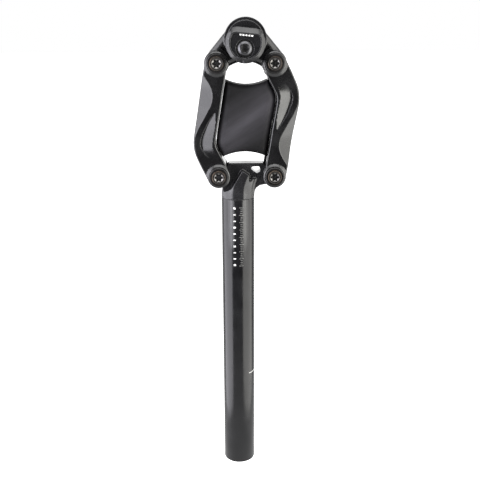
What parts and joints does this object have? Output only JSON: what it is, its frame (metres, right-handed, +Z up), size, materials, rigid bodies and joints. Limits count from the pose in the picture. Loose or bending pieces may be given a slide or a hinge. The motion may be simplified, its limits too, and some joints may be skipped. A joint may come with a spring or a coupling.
{
  "type": "suspension seatpost",
  "caption": "Straight round post carrying two parallel links, a rubber block between them and a saddle rail clamp that moves back and down as the rubber compresses.",
  "frame": {"origin": "centre of the post tube's lower end, on the tube's axis", "axes": "+Z up the tube, +X to the front of the bicycle, +Y to its left"},
  "size_m": [0.0858, 0.0566, 0.398],
  "materials": {
    "tube_black": "black anodised, satin gloss",
    "anodised_black": "forged, black anodised, satin",
    "clamp_black": "forged, black anodised, satin",
    "elastomer_rubber": "moulded dark grey rubber",
    "shaft_steel": "ground",
    "bolt_steel": "dark plated with a bronze tint",
    "bushing_bronze": "sintered bronze",
    "washer_black": "black anodised, semi gloss"
  },
  "bodies": {
    "root": {"post_tube": "tube_black", "lower_head": "anodised_black", "lower_rear_bushing_right": "bushing_bronze", "lower_rear_bushing_left": "bushing_bronze", "lower_front_bushing_right": "bushing_bronze", "lower_front_bushing_left": "bushing_bronze"},
    "rear_link": {"rear_link": "anodised_black", "lower_rear_shaft": "shaft_steel", "lower_rear_washer_right": "washer_black", "lower_rear_washer_left": "washer_black", "lower_rear_bolt_right": "bolt_steel", "lower_rear_bolt_left": "bolt_steel", "upper_rear_shaft": "shaft_steel", "upper_rear_washer_right": "washer_black", "upper_rear_washer_left": "washer_black", "upper_rear_bolt_right": "bolt_steel", "upper_rear_bolt_left": "bolt_steel"},
    "front_link": {"front_link": "anodised_black", "lower_front_shaft": "shaft_steel", "lower_front_washer_right": "washer_black", "lower_front_washer_left": "washer_black", "lower_front_bolt_right": "bolt_steel", "lower_front_bolt_left": "bolt_steel", "upper_front_shaft": "shaft_steel", "upper_front_washer_right": "washer_black", "upper_front_washer_left": "washer_black", "upper_front_bolt_right": "bolt_steel", "upper_front_bolt_left": "bolt_steel"},
    "upper_head": {"upper_head": "anodised_black", "upper_rear_bushing_right": "bushing_bronze", "upper_rear_bushing_left": "bushing_bronze", "upper_front_bushing_right": "bushing_bronze", "upper_front_bushing_left": "bushing_bronze"},
    "elastomer": {"elastomer": "elastomer_rubber"},
    "clamp_core": {"inner_clamp_right": "clamp_black", "inner_clamp_left": "clamp_black"},
    "outer_clamp_right": {"outer_clamp_right": "clamp_black", "clamp_bolt": "bolt_steel", "clamp_washer": "bolt_steel"},
    "outer_clamp_left": {"outer_clamp_left": "clamp_black", "clamp_nut": "bolt_steel"}
  },
  "joints": [
    {"name": "rear_link_swing", "type": "hinge", "parent": "root", "child": "rear_link", "pos_m": [-0.016, 0, 0.2719], "axis": [0, -1, 0], "range_deg": [0, 55], "stiffness_Nm_per_rad": 130},
    {"name": "front_link_swing", "type": "hinge", "parent": "root", "child": "front_link", "pos_m": [0.03, 0, 0.2719], "axis": [0, -1, 0], "range_deg": [0, 55]},
    {"name": "upper_head_level", "type": "hinge", "parent": "rear_link", "child": "upper_head", "pos_m": [-0.01666, 0, 0.3624], "axis": [0, -1, 0], "range_deg": [-55, 0]},
    {"name": "elastomer_squeeze", "type": "hinge", "parent": "root", "child": "elastomer", "pos_m": [0.0216, 0, 0.2444], "axis": [0, -1, 0], "range_deg": [0, 33.3], "deforming": ["elastomer"]},
    {"name": "clamp_tilt", "type": "hinge", "parent": "upper_head", "child": "clamp_core", "pos_m": [0.0063, 0, 0.3807], "axis": [0, 1, 0], "range_deg": [-21, 9]},
    {"name": "right_clamp_release", "type": "slide", "parent": "clamp_core", "child": "outer_clamp_right", "axis": [0, -1, 0], "range_m": [0, 0.004]},
    {"name": "left_clamp_release", "type": "slide", "parent": "clamp_core", "child": "outer_clamp_left", "axis": [0, 1, 0], "range_m": [0, 0.004]}
  ],
  "couplings": [
    {"joint": "front_link_swing", "follows": "rear_link_swing", "ratio": 1},
    {"joint": "upper_head_level", "follows": "rear_link_swing", "ratio": -1},
    {"joint": "elastomer_squeeze", "follows": "rear_link_swing", "ratio": 0.6047}
  ]
}
